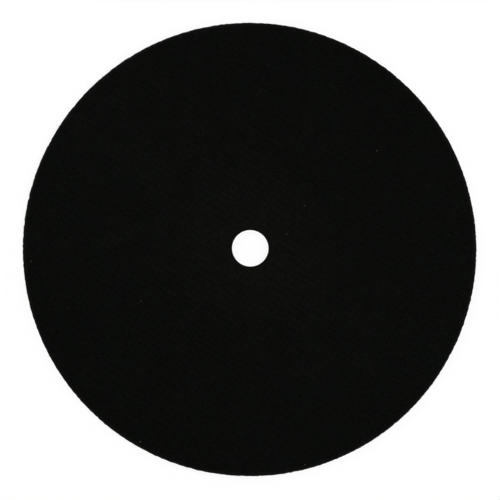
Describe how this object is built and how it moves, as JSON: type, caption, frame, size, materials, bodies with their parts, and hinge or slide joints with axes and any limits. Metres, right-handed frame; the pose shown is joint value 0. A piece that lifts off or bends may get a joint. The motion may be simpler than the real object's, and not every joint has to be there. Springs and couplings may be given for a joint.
{
  "type": "cut off wheel",
  "caption": "Flat black abrasive cut off wheel: a thin disc of resin-bonded grain, pressed with glass cloth whose weave shows in both faces, with a plain round arbor bore.",
  "frame": {"origin": "centre of the bore, in the plane of the face that the wheel lies on", "axes": "+Z along the bore axis, out of the upper face; +X and +Y in the plane of the lower face"},
  "size_m": [0.3999, 0.4, 0.004],
  "materials": {
    "abrasive": "matt black resin-bonded grain with pressed-in glass cloth"
  },
  "bodies": {
    "root": {"wheel": "abrasive"}
  },
  "joints": []
}
